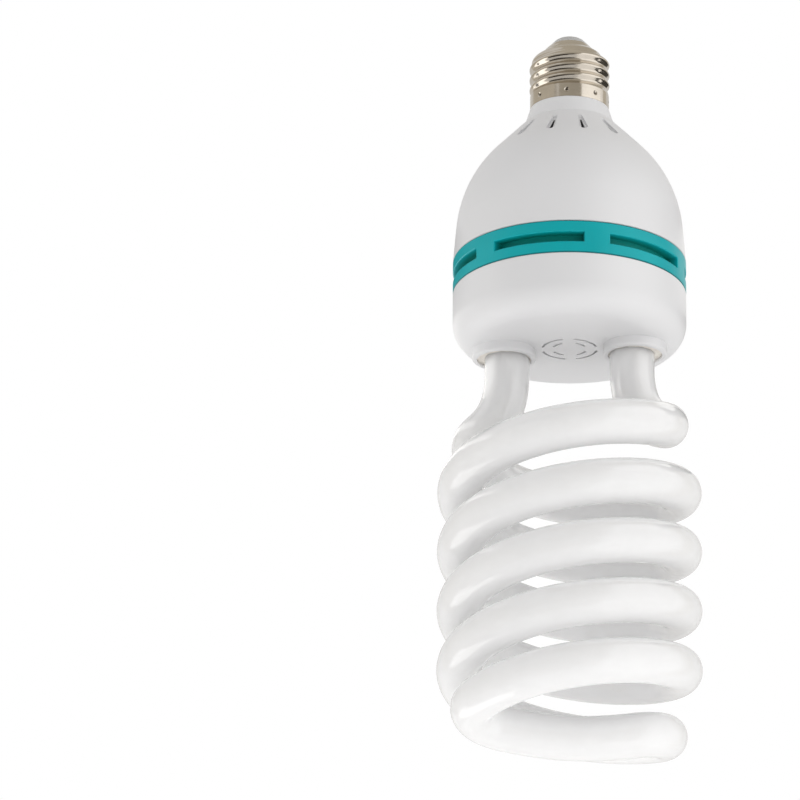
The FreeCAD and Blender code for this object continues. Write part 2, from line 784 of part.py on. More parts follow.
def wire_post(index):
    """Square pin in the board that a tube lead is wrapped to."""
    low = LEG_END + TUBE_LEAD_RISE - 1
    return block(POST_W, POST_W, BOARD_TOP + POST_RISE - low, *post_at(index), low)


def tube_lead(index):
    """Lead from the sealed end of a leg to its post."""
    x, y = post_at(index)
    side = math.copysign(1.0, y)
    high = LEG_END + TUBE_LEAD_RISE
    near = side * TUBE_LEAD_Y
    route = [V(x, near, LEG_END), V(x, near, high), V(x, y - side * POST_W / 2, high)]
    return bent_wire(route, LEAD_R, TUBE_LEAD_RISE * 0.4)


def live_lead():
    """Insulated lead from the board up the neck to the contact."""
    x, y = LIVE_AT
    neck = CREASE_Z - NECK_H / 2
    over = BOARD_TOP + CAN_H + CABLE_ROOM
    route = [V(x, y, BOARD_TOP), V(x, y, over), V(0, 0, neck), V(0, 0, -CONTACT_H)]
    return bent_wire(route, CABLE_R, BELL_H * 0.3)


def neutral_lead():
    """Insulated lead from the board up the neck to the inside of the shell."""
    x, y = NEUTRAL_AT
    wall_x = CABLE_R + FIT - CORE_IN_R
    neck = CREASE_Z - NECK_H / 2
    rise = (CORE_IN_R - FIT - COLLAR_R + SHELL_WALL) * SHOULDER_H / (ROOT_R - COLLAR_R)
    end = SHOULDER_Z - rise - FIT
    over = BOARD_TOP + CAN_H + CABLE_ROOM
    route = [V(x, y, BOARD_TOP), V(x, y, over), V(wall_x, 0, neck), V(wall_x, 0, end)]
    return bent_wire(route, CABLE_R, BELL_H * 0.2)


def pieces():
    """Every piece with its name."""
    made = {
        "screw_shell": screw_shell(),
        "cap_insulator": cap_insulator(),
        "centre_contact": centre_contact(),
        "upper_housing": upper_housing(),
        "vent_ring": vent_ring(),
        "lower_housing": lower_housing(),
        "spiral_tube": spiral_tube(),
        "leg_cement_right": leg_cement(),
        "leg_cement_left": half_turned(leg_cement()),
        "circuit_board": circuit_board(),
        "smoothing_capacitor": smoothing_capacitor(),
        "choke_bobbin": choke_bobbin(),
        "choke_core": choke_core(),
        "choke_winding": choke_winding(),
        "input_choke": input_choke(),
        "drive_toroid": drive_toroid(),
        "transistor_left": transistor(-1),
        "transistor_right": transistor(1),
        "filter_capacitor": film_capacitor(FILTER_AT, FILTER_SIZE),
        "resonance_capacitor": film_capacitor(RESONANCE_AT, RESONANCE_SIZE),
        "coupling_capacitor": film_capacitor(COUPLING_AT, COUPLING_SIZE),
        "fuse_resistor": standing(FUSE_AT, FUSE_R, FUSE_H),
        "thermistor": thermistor(),
        "live_lead": live_lead(),
        "neutral_lead": neutral_lead(),
    }
    for i in range(DIODES):
        made[f"rectifier_diode_{i + 1}"] = standing(diode_at(i), DIODE_R, DIODE_H)
    for i in range(4):
        made[f"wire_post_{i + 1}"] = wire_post(i)
        made[f"tube_lead_{i + 1}"] = tube_lead(i)
    return made


os.makedirs("parts", exist_ok=True)
for name, shape in pieces().items():
    shape.exportStep(f"parts/{name}.step")
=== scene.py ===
"""Looks of a spiral energy saving lamp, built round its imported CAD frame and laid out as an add-on."""
import json
import math

import bmesh
import bpy
from mathutils import Matrix, Vector, noise

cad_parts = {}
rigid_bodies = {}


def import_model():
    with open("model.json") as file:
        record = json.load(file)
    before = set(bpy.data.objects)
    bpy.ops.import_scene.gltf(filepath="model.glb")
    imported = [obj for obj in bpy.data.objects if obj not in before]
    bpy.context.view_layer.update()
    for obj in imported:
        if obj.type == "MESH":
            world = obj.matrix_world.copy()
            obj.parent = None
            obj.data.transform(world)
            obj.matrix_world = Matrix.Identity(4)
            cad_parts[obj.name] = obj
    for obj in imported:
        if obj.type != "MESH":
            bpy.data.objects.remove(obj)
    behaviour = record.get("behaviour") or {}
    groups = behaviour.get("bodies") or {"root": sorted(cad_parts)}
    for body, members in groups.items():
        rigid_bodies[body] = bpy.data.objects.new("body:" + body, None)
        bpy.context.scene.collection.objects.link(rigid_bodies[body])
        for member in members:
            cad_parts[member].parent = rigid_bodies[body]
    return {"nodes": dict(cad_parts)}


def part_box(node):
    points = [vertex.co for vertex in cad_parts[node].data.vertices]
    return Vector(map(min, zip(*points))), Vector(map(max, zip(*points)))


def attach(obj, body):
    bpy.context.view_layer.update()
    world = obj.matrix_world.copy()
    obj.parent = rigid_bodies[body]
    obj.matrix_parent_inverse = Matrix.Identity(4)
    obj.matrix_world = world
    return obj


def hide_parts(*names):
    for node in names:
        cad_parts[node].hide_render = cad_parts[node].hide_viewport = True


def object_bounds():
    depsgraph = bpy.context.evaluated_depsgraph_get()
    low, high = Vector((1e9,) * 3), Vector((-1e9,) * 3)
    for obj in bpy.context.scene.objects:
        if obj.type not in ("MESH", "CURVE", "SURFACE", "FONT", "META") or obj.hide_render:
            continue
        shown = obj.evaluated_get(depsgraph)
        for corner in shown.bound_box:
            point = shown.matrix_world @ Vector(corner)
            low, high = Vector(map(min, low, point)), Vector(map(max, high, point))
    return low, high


bl_info = {
    "name": "Spiral Lamp",
    "version": (1, 0, 0),
    "blender": (4, 5, 0),
    "location": "View3D > Sidebar > Spiral Lamp",
    "description": "Finishes and small details of a spiral energy saving lamp, with a plain studio",
    "category": "Object",
}

for leftover in list(bpy.data.objects):
    bpy.data.objects.remove(leftover)
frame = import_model()
CAD_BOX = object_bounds()

# Places on the frame
CONTACT_LOW, CONTACT_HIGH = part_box("centre_contact")
CEMENT_LOW, CEMENT_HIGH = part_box("leg_cement_right")
RING_LOW, RING_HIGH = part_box("vent_ring")
SHELL_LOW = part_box("screw_shell")[0]
MIDDLE = Vector((0.0, 0.0, (CAD_BOX[0][2] + CAD_BOX[1][2]) / 2))
CAP_MIDDLE = Vector((0.0, 0.0, CAD_BOX[1][2] - 0.018))

# Axes along which a distance is a height or a radius, and a stretch that leaves a texture as it is
HEIGHT = (0.0, 0.0, 1.0)
RADIUS = (1.0, 1.0, 0.0)
EVEN = (1.0, 1.0, 1.0)

# Range that holds nearly all of a noise
NOISE_LOW, NOISE_HIGH = 0.3, 0.7

# Numbers of the sockets of a colour mix
MIX_SHARE, MIX_FIRST, MIX_SECOND, MIX_RESULT = 0, 6, 7, 2

# Steps round the contact and round a leg, cuts across the cement, and distances that count as none
CONTACT_STEPS, LEG_STEPS, CEMENT_CUTS = 72, 96, 5
MERGED, LEVEL = 1e-7, 1e-6

# End contact: how far its rim's steps lie inside its radius and under its top, then those of its dish inside
# its radius and over the dish's floor
CONTACT_RIM = ((0.0, 0.00030), (0.00009, 0.00009), (0.00030, 0.0), (0.0010, 0.0))
CONTACT_DISH = ((0.0014, 0.00008), (0.0017, 0.0))

# Drop of solder: half width and half depth, share of the dish that it fills, place, and its unevenness
SOLDER_WIDTH, SOLDER_DEPTH, SOLDER_FILL = 0.0019, 0.0017, 0.9
SOLDER_X, SOLDER_Y = 0.0001, -0.0001
SOLDER_GRAIN, SOLDER_UNEVEN = 900.0, 0.10

# Cement: how far it creeps from the glass and from the collar, and the shares of creep, collar and lumps
GLASS_CREEP, COLLAR_CREEP = 0.0006, 0.0004
CREEP_SHARE, COLLAR_SHARE, LUMP_SHARE = 0.75, 0.4, 0.3
LUMP_GRAIN = 420.0

# Studio: floor, walls, colours of the light, camera, and how far the ring's ends stand from the front in degrees
FLOOR_SIDE, PAPER_GLOW = 90.0, 0.9
WALL_SIDE, WALL_PLACE = 7.2, 3.55
DAYLIGHT, WARM, PALE = (1.0, 0.99, 0.98), (1.0, 0.93, 0.8), (1.0, 0.98, 0.95)
SENSOR_WIDTH, CLIP_END = 36.0, 200.0
RING_END = 72

# Lamps: azimuth from the front to the right, elevation, distance, width and height
LAMPS = {
    "right": (66, -5, 1.6, 1.9, 2.4),
    "left": (-100, -15, 1.5, 1.2, 1.6),
    "low": (0, -58, 1.6, 2.0, 1.8),
    "high": (0, 75, 1.5, 1.6, 1.6),
    "back": (180, -38, 1.6, 1.6, 1.2),
}

# Sheets that the gloss sees: what each faces, azimuth, elevation and distance from it, width, depth, colour and level
SCREENS = {
    "front_wall": ("bulb", 0, 0, WALL_PLACE, WALL_SIDE, WALL_SIDE, WARM, "front_level"),
    "left_wall": ("bulb", -90, 0, WALL_PLACE, WALL_SIDE, WALL_SIDE, WARM, "left_level"),
    "right_wall": ("bulb", 90, 0, WALL_PLACE, WALL_SIDE, WALL_SIDE, WARM, "right_level"),
    "back_wall": ("bulb", 180, 0, WALL_PLACE, WALL_SIDE, WALL_SIDE, PALE, "back_level"),
    "ceiling": ("bulb", 0, 90, WALL_PLACE, WALL_SIDE, WALL_SIDE, WARM, "ceiling_level"),
    "ground": ("bulb", 0, -90, 3.2, WALL_SIDE, WALL_SIDE, PALE, "ground_level"),
    "right_box": ("bulb", 75, -6, 2.0, 3.6, 5.4, PALE, "box_level"),
    "left_strip": ("bulb", -116, -52, 2.0, 0.9, 2.0, PALE, "strip_level"),
    "left_card": ("bulb", -85, 54, 2.0, 4.4, 1.4, PALE, "card_level"),
    "cap_card": ("cap", -110, -30, 0.125, 0.20, 0.055, PALE, "strip_level"),
    "cap_box": ("cap", 68, 2, 0.16, 0.20, 0.13, PALE, "cap_level"),
    "side_cloth": ("cap", 118, -16, 0.12, 0.12, 0.09, WARM, "dark_level"),
    "front_cloth": ("cap", -22, -30, 0.12, 0.17, 0.07, WARM, "dark_level"),
    "ring_cloth": ("left_end", -146, 21, 0.06, 0.06, 0.03, WARM, "dark_level"),
    "ring_card": ("right_end", 146, 21, 0.06, 0.06, 0.03, PALE, "ring_level"),
}


# Properties

def colour_property(name, description, default):
    """Colour that a user picks, as linear red, green and blue."""
    return bpy.props.FloatVectorProperty(
        name=name, description=description, default=default, subtype="COLOR", size=3, min=0.0, max=1.0)


def length_property(name, description, default):
    """Length in metres."""
    return bpy.props.FloatProperty(name=name, description=description, default=default, unit="LENGTH", precision=5)


def angle_property(name, description, degrees):
    """Angle whose default is given in degrees."""
    return bpy.props.FloatProperty(
        name=name, description=description, default=math.radians(degrees), subtype="ANGLE")


def power_property(name, description, default):
    """Power of a lamp in watts."""
    return bpy.props.FloatProperty(name=name, description=description, default=default, unit="POWER", min=0.0)


def level_property(name, description, default):
    """Brightness of a sheet or of the daylight, where 1 is white."""
    return bpy.props.FloatProperty(name=name, description=description, default=default, min=0.0)


class LampFinishes(bpy.types.PropertyGroup):
    """Colours of the lamp's visible finishes."""
    housing: colour_property("Housing", "White plastic of the two housings", (0.80, 0.80, 0.81))
    ring: colour_property("Ring", "Teal plastic of the vent ring", (0.0, 0.40, 0.435))
    tube: colour_property("Tube", "White powder behind the glass of the tube", (0.885, 0.885, 0.89))
    nickel: colour_property("Nickel", "Plated screw shell", (0.68, 0.63, 0.56))
    insulator: colour_property("Insulator", "Grey plug at the end of the cap", (0.55, 0.55, 0.55))
    cement: colour_property("Cement", "Cement that holds the legs", (0.86, 0.82, 0.76))
    solder: colour_property("Solder", "Tin on the end contact", (0.74, 0.74, 0.73))


class LampSizes(bpy.types.PropertyGroup):
    """Sizes of the small pieces that the scene models, and of the solids that its finishes follow."""
    leg_radius: length_property("Leg radius", "Outside of a leg of the tube", 0.00725)
    leg_place: length_property("Leg place", "Distance of a leg from the axis", 0.0203)
    mouth_radius: length_property("Mouth radius", "Inside of a leg collar", (CEMENT_HIGH.x - CEMENT_LOW.x) / 2)
    ring_height: length_property("Ring height", "Height of the vent ring's band", 0.011)
    bell_height: length_property("Bell height", "Height of the bell from the ring to the neck's crease", 0.0485)
    neck_radius: length_property("Neck radius", "Outside of the neck", 0.0146)
    vent_reach: length_property("Vent reach", "Distance of the bell vents' far ends from the axis", 0.0254)
    vent_dent: length_property("Vent dent", "Depth of the dent round a bell vent's slit", 0.0007)
    bell_slope: angle_property("Bell slope", "Angle between the axis and the cone under the neck", 44.2)
    skirt_radius: length_property("Skirt radius", "Outside of the cap's skirt", 0.0129)
    skirt_height: length_property("Skirt height", "Height of the cap's skirt", 0.0046)
    cement_swell: length_property("Cement swell", "How far the cement creeps down the glass", 0.0008)
    contact_radius: length_property("Contact radius", "Outside of the end contact", CONTACT_HIGH.x)
    dish_depth: length_property("Dish depth", "Depth of the pressed dish in the end contact", 0.0003)


class LampStage(bpy.types.PropertyGroup):
    """Camera, lamps, sheets and floor of the studio."""
    front: angle_property("Front", "Angle of the front from the plane between the legs", 6.1)
    camera_distance: length_property("Camera distance", "Level distance of the camera from the axis", 2.4)
    camera_level: length_property("Camera level", "Height of the camera", -1.044)
    camera_tilt: angle_property("Camera tilt", "How far the camera looks up", 20.93)
    camera_shift: bpy.props.FloatProperty(
        name="Camera shift", description="Sideways shift of the lens, as a share of the frame", default=-0.2119)
    lens: bpy.props.FloatProperty(
        name="Lens", description="Focal length on a 36 mm sensor", default=358.47, unit="CAMERA")
    floor_level: length_property("Floor level", "Height of the floor", -3.4)
    daylight: level_property("Daylight", "Strength of the even light from all round", 0.53)
    right_power: power_property("Right lamp", "Power of the wall of light on the right", 11.2)
    left_power: power_property("Left lamp", "Power of the low lamp on the left", 7.0)
    low_power: power_property("Low lamp", "Power of the lamp under the bulb", 11.8)
    high_power: power_property("High lamp", "Power of the lamp over the bulb", 4.8)
    back_power: power_property("Back lamp", "Power of the lamp behind the bulb", 7.0)
    front_level: level_property("Front wall", "Brightness of the front wall in the gloss", 0.40)
    left_level: level_property("Left wall", "Brightness of the left wall in the gloss", 0.54)
    right_level: level_property("Right wall", "Brightness of the right wall in the gloss", 0.56)
    back_level: level_property("Back wall", "Brightness of the back wall in the gloss", 0.70)
    ceiling_level: level_property("Ceiling", "Brightness of the ceiling in the gloss", 0.5)
    ground_level: level_property("Ground", "Brightness of the ground in the gloss", 0.62)
    box_level: level_property("Right box", "Brightness of the tall box on the right in the gloss", 0.98)
    strip_level: level_property("Left strips", "Brightness of the low strip and the cap's card on the left", 1.7)
    card_level: level_property("Left card", "Brightness of the high card on the left in the gloss", 0.7)
    cap_level: level_property("Cap box", "Brightness of the box next to the cap in the gloss", 1.25)
    ring_level: level_property("Ring card", "Brightness of the card next to the ring in the gloss", 1.25)
    dark_level: level_property("Dark cloth", "Brightness of the dark cloths in the gloss", 0.05)


# Material nodes

def tree_of(material):
    """Nodes and links of a finish."""
    return material.node_tree.nodes, material.node_tree.links


def shader_of(material):
    """Shader node of a finish."""
    return material.node_tree.nodes["Principled BSDF"]


def finish(name, colour, roughness, sockets=None):
    """Material whose even values are set on its shader."""
    material = bpy.data.materials.new(name)
    material.use_nodes = True
    shader = shader_of(material)
    shader.inputs["Base Color"].default_value = (*colour, 1.0)
    shader.inputs["Roughness"].default_value = roughness
    for socket, value in (sockets or {}).items():
        shader.inputs[socket].default_value = value
    return material


def placed(material, stretch=EVEN, move=(0.0, 0.0, 0.0)):
    """The object's own coordinates, stretched and then moved."""
    nodes, links = tree_of(material)
    place = nodes.new("ShaderNodeTexCoord")
    mapping = nodes.new("ShaderNodeMapping")
    mapping.inputs["Location"].default_value = move
    mapping.inputs["Scale"].default_value = stretch
    links.new(place.outputs["Object"], mapping.inputs["Vector"])
    return mapping.outputs["Vector"]


def grain(material, scale, detail=3.0, stretch=EVEN):
    """Noise on the object's own coordinates, drawn out by a stretch."""
    nodes, links = tree_of(material)
    texture = nodes.new("ShaderNodeTexNoise")
    texture.inputs["Scale"].default_value = scale
    texture.inputs["Detail"].default_value = detail
    links.new(placed(material, stretch), texture.inputs["Vector"])
    return texture.outputs[0]


def cells(material, scale):
    """Distance to the nearest of scattered points."""
    nodes, links = tree_of(material)
    texture = nodes.new("ShaderNodeTexVoronoi")
    texture.inputs["Scale"].default_value = scale
    links.new(placed(material), texture.inputs["Vector"])
    return texture.outputs["Distance"]


def reach(material, axes, centre=(0.0, 0.0, 0.0)):
    """Distance from a point, counted along some axes of the object."""
    nodes, links = tree_of(material)
    length = nodes.new("ShaderNodeVectorMath")
    length.operation = "LENGTH"
    move = [-far * axis for far, axis in zip(centre, axes)]
    links.new(placed(material, axes, move), length.inputs[0])
    return length.outputs["Value"]


def spread(material, value, low, high, start=NOISE_LOW, stop=NOISE_HIGH):
    """Value stretched from one range to another."""
    nodes, links = tree_of(material)
    node = nodes.new("ShaderNodeMapRange")
    node.inputs["From Min"].default_value = start
    node.inputs["From Max"].default_value = stop
    node.inputs["To Min"].default_value = low
    node.inputs["To Max"].default_value = high
    links.new(value, node.inputs["Value"])
    return node.outputs["Result"]


def weighed(material, *parts):
    """Sum of values, each taken times its weight."""
    nodes, links = tree_of(material)
    total = None
    for value, weight in parts:
        node = nodes.new("ShaderNodeMath")
        node.operation = "MULTIPLY_ADD"
        node.inputs[1].default_value = weight
        node.inputs[2].default_value = 0.0
        links.new(value, node.inputs[0])
        if total is not None:
            links.new(total, node.inputs[2])
        total = node.outputs["Value"]
    return total


def tint(material, value, first, second):
    """Base colour that goes from one tone to another with a noise."""
    nodes, links = tree_of(material)
    mix = nodes.new("ShaderNodeMix")
    mix.data_type = "RGBA"
    mix.inputs[MIX_FIRST].default_value = (*first, 1.0)
    mix.inputs[MIX_SECOND].default_value = (*second, 1.0)
    links.new(spread(material, value, 0.0, 1.0), mix.inputs[MIX_SHARE])
    links.new(mix.outputs[MIX_RESULT], shader_of(material).inputs["Base Color"])


def shade(material, value, painted_shade_tone, start, stop):
    """Base colour multiplied by a tone of painted shade where a value has gone from start to stop."""
    nodes, links = tree_of(material)
    base = shader_of(material).inputs["Base Color"]
    mix = nodes.new("ShaderNodeMix")
    mix.data_type = "RGBA"
    mix.blend_type = "MULTIPLY"
    mix.inputs[MIX_SECOND].default_value = (*painted_shade_tone, 1.0)
    links.new(base.links[0].from_socket, mix.inputs[MIX_FIRST])
    links.new(spread(material, value, 0.0, 1.0, start, stop), mix.inputs[MIX_SHARE])
    links.new(mix.outputs[MIX_RESULT], base)


def polish(material, value, low, high):
    """Roughness that varies over the surface with a noise."""
    links = material.node_tree.links
    links.new(spread(material, value, low, high), shader_of(material).inputs["Roughness"])


def relief(material, height, depth, strength, socket="Normal"):
    """Bump of a depth in metres, on top of any bump that is there."""
    nodes, links = tree_of(material)
    bump = nodes.new("ShaderNodeBump")
    bump.inputs["Distance"].default_value = depth
    bump.inputs["Strength"].default_value = strength
    normal = shader_of(material).inputs[socket]
    if normal.is_linked:
        links.new(normal.links[0].from_socket, bump.inputs["Normal"])
    links.new(height, bump.inputs["Height"])
    links.new(bump.outputs["Normal"], normal)


def tone(colour, factor):
    """Colour made darker or lighter."""
    return tuple(min(1.0, channel * factor) for channel in colour)


# Finishes

def from_band(material, ring_height):
    """Height over or under the middle of the vent ring's band."""
    return reach(material, HEIGHT, (0.0, 0.0, RING_LOW.z + ring_height / 2))


def vent_depth(material, sizes):
    """Depth under the cone that carries the bell's vents, and far less than nothing beyond the vents."""
    crease = RING_LOW.z + sizes.ring_height + sizes.bell_height
    tip = crease + sizes.neck_radius / math.tan(sizes.bell_slope)
    radius = reach(material, RADIUS)
    beyond = spread(material, radius, 0.0, 1.0, sizes.vent_reach, sizes.vent_reach + 0.0005)
    return weighed(
        material, (reach(material, HEIGHT, (0.0, 0.0, tip)), math.sin(sizes.bell_slope)),
        (radius, -math.cos(sizes.bell_slope)), (beyond, -0.1))


def housing_finish(name, colour, ring_height):
    """Moulded white plastic with a fine satin grain, with painted shade in the seams next to the vent ring."""
    material = finish(name, colour, 0.42, {"Specular IOR Level": 0.45})
    tint(material, grain(material, scale=22.0, detail=2.0), tone(colour, 0.985), tone(colour, 1.015))
    polish(material, grain(material, scale=60.0), low=0.38, high=0.47)
    relief(material, grain(material, scale=900.0, detail=2.0), depth=0.00004, strength=0.35)
    relief(material, grain(material, scale=90.0, detail=1.0), depth=0.00010, strength=0.2)
    seam = ring_height / 2
    # Painted shade: a grey line on the housing next to each seam with the vent ring
    shade(material, from_band(material, ring_height), (0.72, 0.74, 0.74), seam + 0.0004, seam + 0.0001)
    return material


def bell_finish(colour, sizes):
    """The housing's plastic, with painted shade inside the vents under the neck."""
    material = housing_finish("bell_white", colour, sizes.ring_height)
    depth, dent = vent_depth(material, sizes), sizes.vent_dent
    # Painted shade: light grey in the dent round each vent's slit, near black down the slit
    shade(material, depth, (0.86, 0.86, 0.86), 0.0001, dent)
    shade(material, depth, (0.14, 0.14, 0.14), dent + 0.00004, dent + 0.0003)
    return material


def ring_finish(colour, ring_height):
    """Moulded teal plastic, with painted shade in its slots and along its seams."""
    material = finish("ring_teal", colour, 0.42, {"Specular IOR Level": 0.2})
    tint(material, grain(material, scale=55.0), tone(colour, 0.94), tone(colour, 1.06))
    polish(material, grain(material, scale=120.0), low=0.36, high=0.5)
    relief(material, grain(material, scale=1000.0, detail=2.0), depth=0.00003, strength=0.35)
    face, seam = RING_HIGH.x, ring_height / 2
    # Painted shade: the teal darkens deep in the slots, by distance in from the ring's face
    shade(material, reach(material, RADIUS), (0.8, 0.72, 0.58), face - 0.0005, face - 0.0028)
    # Painted shade: the teal darkens along the ring's top and bottom seams
    shade(material, from_band(material, ring_height), (0.5, 0.5, 0.5), seam - 0.0005, seam - 0.0002)
    return material


def tube_finish(colour):
    """White powder behind smooth glass, with the slow waves of drawn glass."""
    material = finish("tube_white", colour, 0.3, {
        "Coat Weight": 1.0, "Coat Roughness": 0.025, "Coat IOR": 1.8, "Specular IOR Level": 0.0,
        "Subsurface Weight": 1.0, "Subsurface Radius": (1.0, 1.0, 1.0), "Subsurface Scale": 0.016})
    tint(material, grain(material, scale=160.0, detail=4.0), tone(colour, 0.985), tone(colour, 1.012))
    polish(material, grain(material, scale=45.0), low=0.25, high=0.35)
    relief(material, grain(material, scale=70.0, detail=1.0), depth=0.0004, strength=0.06, socket="Coat Normal")
    return material


def nickel_finish(colour, sizes):
    """Rolled and plated sheet with faint lines round it, and painted shade in the prick marks."""
    material = finish("nickel_plate", colour, 0.14, {"Metallic": 1.0})
    tint(material, grain(material, scale=180.0, detail=4.0), tone(colour, 0.93), tone(colour, 1.05))
    # Painted shade: near black inside the prick marks round the middle of the skirt
    from_marks = reach(material, HEIGHT, (0.0, 0.0, SHELL_LOW.z + sizes.skirt_height / 2))
    prick_shade_reach = weighed(material, (reach(material, RADIUS), 1.0), (from_marks, 0.35))
    skirt = sizes.skirt_radius
    shade(material, prick_shade_reach, (0.16, 0.14, 0.13), skirt - 0.00008, skirt - 0.00024)
    polish(material, grain(material, scale=70.0, detail=4.0, stretch=(1.0, 1.0, 30.0)), low=0.09, high=0.19)
    lines = grain(material, scale=60.0, detail=2.0, stretch=(1.0, 1.0, 60.0))
    relief(material, lines, depth=0.00002, strength=0.25)
    return material


def insulator_finish(colour):
    """Grey vitrified plug."""
    material = finish("insulator_grey", colour, 0.32)
    tint(material, grain(material, scale=400.0), tone(colour, 0.92), tone(colour, 1.06))
    polish(material, grain(material, scale=200.0), low=0.25, high=0.4)
    relief(material, grain(material, scale=900.0), depth=0.00003, strength=0.3)
    return material


def solder_finish(colour):
    """Tinned metal, dull where it cooled last."""
    material = finish("tin", colour, 0.3, {"Metallic": 1.0})
    tint(material, grain(material, scale=500.0, detail=4.0), tone(colour, 0.85), tone(colour, 1.04))
    polish(material, grain(material, scale=350.0, detail=4.0), low=0.2, high=0.45)
    relief(material, grain(material, scale=1200.0), depth=0.00003, strength=0.4)
    return material


def cement_finish(colour):
    """Chalky cement with pores."""
    material = finish("cement_cream", colour, 0.8)
    tint(material, grain(material, scale=350.0, detail=4.0), tone(colour, 0.88), tone(colour, 1.06))
    polish(material, grain(material, scale=500.0), low=0.7, high=0.9)
    relief(material, grain(material, scale=700.0, detail=4.0), depth=0.0003, strength=0.5)
    relief(material, cells(material, scale=900.0), depth=0.00015, strength=0.4)
    return material


def inner_finish(name, colour, roughness, scale, change, depth, metallic=0.0, stretch=EVEN):
    """Finish of a piece of the ballast: mottled colour, uneven gloss and grain."""
    material = finish(name, colour, roughness, {"Metallic": metallic})
    mottle = grain(material, scale, stretch=stretch)
    tint(material, mottle, tone(colour, 1.0 - change), tone(colour, 1.0 + change))
    polish(material, grain(material, scale * 0.6), roughness * 0.8, min(1.0, roughness * 1.2))
    relief(material, grain(material, scale * 2.0, detail=2.0, stretch=stretch), depth, strength=0.4)
    return material


def numbered(name):
    """Names of the four like nodes of one kind."""
    return [f"{name}_{number}" for number in range(1, 5)]


# Ballast: nodes, and their finish by name, colour, roughness, scale and change of the mottling, depth of the
# grain, share of metal and stretch
BALLAST = (
    (["circuit_board"], "board_paper", (0.42, 0.25, 0.10), 0.5, 300.0, 0.15, 0.00004, 0.0, (1.0, 6.0, 1.0)),
    (["smoothing_capacitor"], "can_sleeve", (0.02, 0.025, 0.05), 0.35, 250.0, 0.2, 0.00004),
    (["choke_bobbin"], "bobbin_black", (0.02, 0.02, 0.02), 0.5, 500.0, 0.2, 0.00005),
    (["choke_core", "input_choke", "drive_toroid"],
     "ferrite_grey", (0.045, 0.045, 0.05), 0.6, 900.0, 0.3, 0.00008),
    (["choke_winding"], "enamel_wire", (0.45, 0.16, 0.05), 0.3, 120.0, 0.2, 0.00015, 0.7, (1.0, 1.0, 25.0)),
    (["transistor_left", "transistor_right", *numbered("rectifier_diode")],
     "moulding_black", (0.025, 0.025, 0.025), 0.55, 700.0, 0.2, 0.00004),
    (["filter_capacitor", "resonance_capacitor", "coupling_capacitor"],
     "film_coat", (0.42, 0.06, 0.03), 0.3, 200.0, 0.12, 0.00008),
    (["fuse_resistor"], "resistor_grey", (0.25, 0.30, 0.36), 0.5, 600.0, 0.12, 0.00005),
    (["thermistor"], "thermistor_black", (0.03, 0.035, 0.03), 0.6, 700.0, 0.25, 0.00006),
    ([*numbered("wire_post"), *numbered("tube_lead")],
     "tinned_wire", (0.72, 0.71, 0.69), 0.35, 600.0, 0.1, 0.00003, 1.0),
    (["neutral_lead"], "lead_blue", (0.03, 0.08, 0.35), 0.4, 400.0, 0.1, 0.00003),
    (["live_lead"], "lead_red", (0.38, 0.02, 0.02), 0.4, 400.0, 0.1, 0.00003),
)


def dress(material, *nodes):
    """Gives CAD nodes a finish."""
    for node in nodes:
        for holder in frame["nodes"][node].material_slots:
            holder.material = material


# Meshes

def piece_from(bm, name, material, slot, *nodes):
    """Makes an object from a closed mesh that rides on the lamp and may stand for CAD nodes."""
    bmesh.ops.remove_doubles(bm, verts=bm.verts, dist=MERGED)
    bmesh.ops.recalc_face_normals(bm, faces=bm.faces)
    for face in bm.faces:
        face.smooth = True
    mesh = bpy.data.meshes.new(name)
    bm.to_mesh(mesh)
    bm.free()
    mesh.materials.append(material)
    piece = bpy.data.objects.new(name, mesh)
    bpy.context.scene.collection.objects.link(piece)
    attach(piece, "root")
    if nodes:
        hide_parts(*nodes)


def contact_disc(sizes):
    """End contact with a rounded rim and a pressed dish, turned about the lamp's axis."""
    radius, low, high = sizes.contact_radius, CONTACT_LOW.z, CONTACT_HIGH.z
    dish = high - sizes.dish_depth
    outline = [(0.0, low), (radius, low)]
    outline += [(radius - inside, high - under) for inside, under in CONTACT_RIM]
    outline += [(radius - inside, dish + over) for inside, over in CONTACT_DISH]
    outline.append((0.0, dish))
    bm = bmesh.new()
    verts = [bm.verts.new((across, 0.0, height)) for across, height in outline]
    edges = [bm.edges.new(ends) for ends in zip(verts, verts[1:])]
    bmesh.ops.spin(
        bm, geom=verts + edges, cent=(0, 0, 0), axis=(0, 0, 1), angle=2 * math.pi, steps=CONTACT_STEPS,
        use_merge=True)
    bmesh.ops.remove_doubles(bm, verts=bm.verts, dist=MERGED)
    return bm


def solder_drop(sizes):
    """Uneven drop of solder in the contact's dish."""
    bm = bmesh.new()
    bmesh.ops.create_icosphere(bm, subdivisions=4, radius=1.0)
    bmesh.ops.scale(bm, verts=bm.verts, vec=(SOLDER_WIDTH, SOLDER_DEPTH, sizes.dish_depth * SOLDER_FILL))
    for vert in bm.verts:
        vert.co *= 1.0 + SOLDER_UNEVEN * noise.noise(Vector((vert.co.x, vert.co.y, 0.0)) * SOLDER_GRAIN)
    bmesh.ops.translate(bm, verts=bm.verts, vec=(SOLDER_X, SOLDER_Y, CONTACT_HIGH.z - sizes.dish_depth))
    return bm


def circle(bm, radius, x, z):
    """Ring of edges round an upright line at x."""
    place = Matrix.Translation((x, 0.0, z))
    made = bmesh.ops.create_circle(bm, segments=LEG_STEPS, radius=radius, matrix=place)
    ring = set(made["verts"])
    return [edge for edge in bm.edges if edge.verts[0] in ring and edge.verts[1] in ring]


